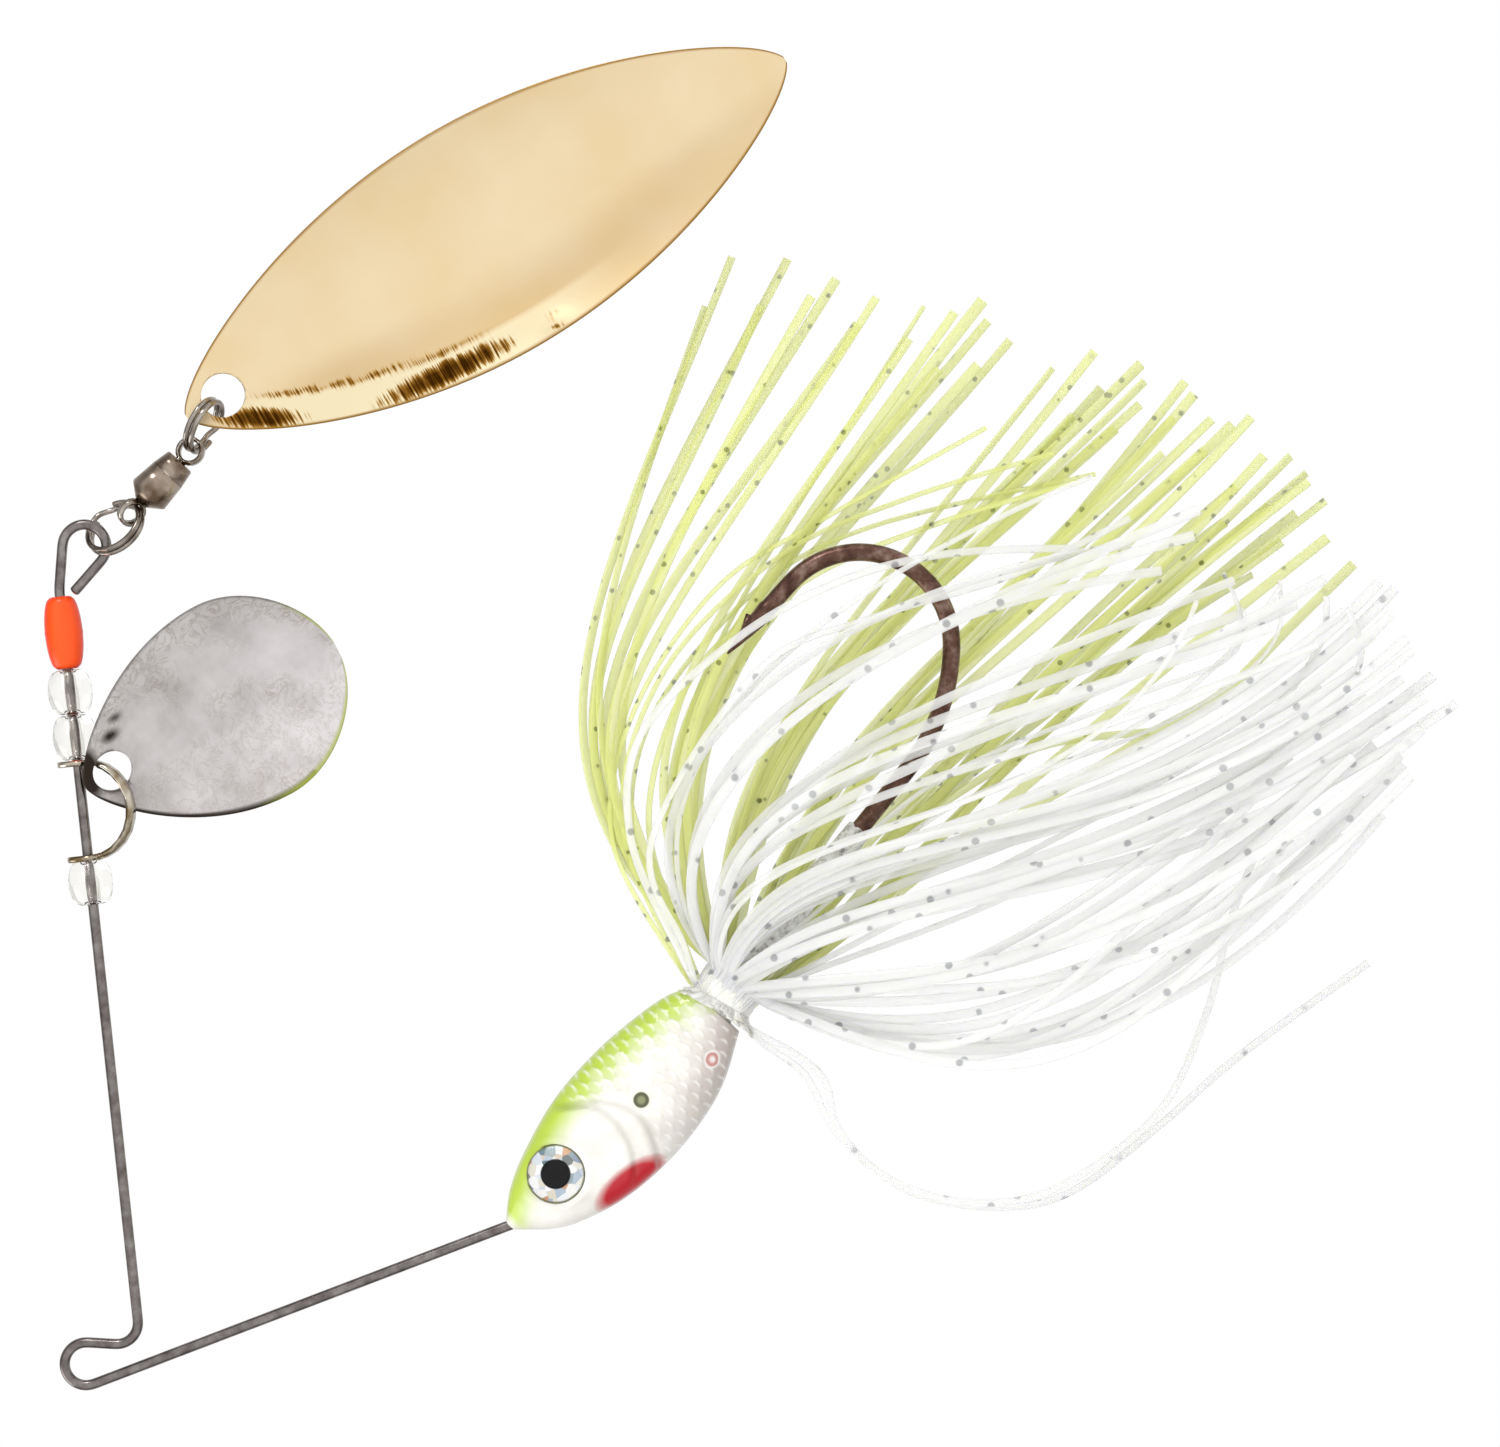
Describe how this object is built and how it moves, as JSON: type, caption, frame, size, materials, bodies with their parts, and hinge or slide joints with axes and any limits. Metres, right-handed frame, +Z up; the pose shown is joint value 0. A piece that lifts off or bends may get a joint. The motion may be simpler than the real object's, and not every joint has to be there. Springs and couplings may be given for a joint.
{
  "type": "spinnerbait",
  "caption": "Tandem-blade wire lure with a painted fish head, single hook, silicone skirt, beads, a clevis blade and a willow-leaf blade on a swivel.",
  "frame": {"origin": "middle of the open line-tie hairpin, which the lure hangs from", "axes": "+Z up along the hanging lure, its longest extent; +Y across its thickness, its shortest extent, pointing to the head's right side; +X towards the blade arm"},
  "size_m": [0.1195, 0.0215, 0.1455],
  "materials": {
    "spring_wire": "drawn stainless spring wire, satin",
    "hook_bronze": "dark bronze plating, semi-gloss",
    "head_paint": "pearl white paint with a chartreuse back and a red gill patch, clear-coated",
    "eye_foil": "holographic foil with a black pupil",
    "eye_resin": "clear epoxy dome",
    "collar_rubber": "translucent white rubber, matt",
    "chartreuse_silicone": "flecked chartreuse silicone, semi-gloss",
    "white_silicone": "flecked white silicone, semi-gloss",
    "orange_bead": "translucent orange-red",
    "clear_bead": "clear, polished",
    "gold_plate": "gold plating, polished",
    "nickel_plate": "nickel plating, tarnished satin",
    "bright_nickel": "bright nickel plating",
    "swivel_nickel": "black-nickel tinted plating, polished"
  },
  "bodies": {
    "frame": {"wire_frame": "spring_wire", "head_body": "head_paint", "hook": "hook_bronze", "eye_foil_left": "eye_foil", "eye_foil_right": "eye_foil", "eye_dome_left": "eye_resin", "eye_dome_right": "eye_resin", "skirt_collar": "collar_rubber", "skirt_chartreuse_1": "chartreuse_silicone", "skirt_chartreuse_2": "chartreuse_silicone", "skirt_chartreuse_3": "chartreuse_silicone", "skirt_chartreuse_4": "chartreuse_silicone", "skirt_chartreuse_5": "chartreuse_silicone", "skirt_chartreuse_6": "chartreuse_silicone", "skirt_white_1": "white_silicone", "skirt_white_2": "white_silicone", "skirt_white_3": "white_silicone", "skirt_white_4": "white_silicone", "skirt_white_5": "white_silicone", "skirt_white_6": "white_silicone", "skirt_stray_1": "white_silicone", "skirt_stray_2": "white_silicone"},
    "orange_bead": {"orange_bead": "orange_bead"},
    "clear_bead_1": {"clear_bead_1": "clear_bead"},
    "clear_bead_2": {"clear_bead_2": "clear_bead"},
    "clevis": {"clevis": "bright_nickel"},
    "nickel_blade": {"nickel_blade": "nickel_plate"},
    "clear_bead_3": {"clear_bead_3": "clear_bead"},
    "lower_ring": {"lower_split_ring": "swivel_nickel"},
    "swivel_body": {"swivel_barrel": "swivel_nickel", "swivel_cap": "swivel_nickel", "swivel_lower_eye": "swivel_nickel", "swivel_ball_1": "swivel_nickel", "swivel_ball_2": "swivel_nickel", "swivel_ball_3": "swivel_nickel", "swivel_ball_4": "swivel_nickel", "swivel_ball_5": "swivel_nickel", "swivel_ball_6": "swivel_nickel"},
    "swivel_upper_eye": {"swivel_upper_eye": "swivel_nickel"},
    "upper_ring": {"upper_split_ring": "swivel_nickel"},
    "gold_blade": {"gold_blade": "gold_plate"}
  },
  "joints": [
    {"name": "orange_bead_slide", "type": "slide", "parent": "frame", "child": "orange_bead", "axis": [-0.8304, 0, 0.5572], "range_m": [0, 0.008]},
    {"name": "clear_bead_1_slide", "type": "slide", "parent": "orange_bead", "child": "clear_bead_1", "axis": [-0.8304, 0, 0.5572], "range_m": [0, 0.007]},
    {"name": "clear_bead_2_slide", "type": "slide", "parent": "clear_bead_1", "child": "clear_bead_2", "axis": [-0.8304, 0, 0.5572], "range_m": [0, 0.007]},
    {"name": "clevis_spin", "type": "hinge", "parent": "clear_bead_2", "child": "clevis", "pos_m": [0.04055, 0, -0.03364], "axis": [0.8304, 0, -0.5572], "continuous": true},
    {"name": "nickel_blade_swing", "type": "hinge", "parent": "clevis", "child": "nickel_blade", "pos_m": [0.04149, -0.0009, -0.03831], "axis": [0.1442, -0.9659, 0.2149], "range_deg": [-30, 18]},
    {"name": "clear_bead_3_slide", "type": "slide", "parent": "clear_bead_2", "child": "clear_bead_3", "axis": [-0.8304, 0, 0.5572], "range_m": [0, 0.008]},
    {"name": "lower_ring_swing", "type": "hinge", "parent": "frame", "child": "lower_ring", "pos_m": [0.05944, 0, -0.05201], "axis": [-0.9702, 0, 0.2423], "range_deg": [-35, 8]},
    {"name": "swivel_swing", "type": "hinge", "parent": "lower_ring", "child": "swivel_body", "pos_m": [0.05915, 0, -0.05609], "axis": [-0.6944, -0.7192, 0.0237], "range_deg": [-2, 20]},
    {"name": "swivel_spin", "type": "hinge", "parent": "swivel_body", "child": "swivel_upper_eye", "pos_m": [0.0596, 0, -0.05784], "axis": [0.108, 0, -0.9942], "continuous": true},
    {"name": "upper_ring_swing", "type": "hinge", "parent": "swivel_upper_eye", "child": "upper_ring", "pos_m": [0.06023, 0, -0.0636], "axis": [0.2532, -0.9613, 0.1088], "range_deg": [-25, 25]},
    {"name": "gold_blade_swing", "type": "hinge", "parent": "upper_ring", "child": "gold_blade", "pos_m": [0.06229, 0, -0.06838], "axis": [0.2532, -0.9613, 0.1088], "range_deg": [-10, 35]}
  ]
}
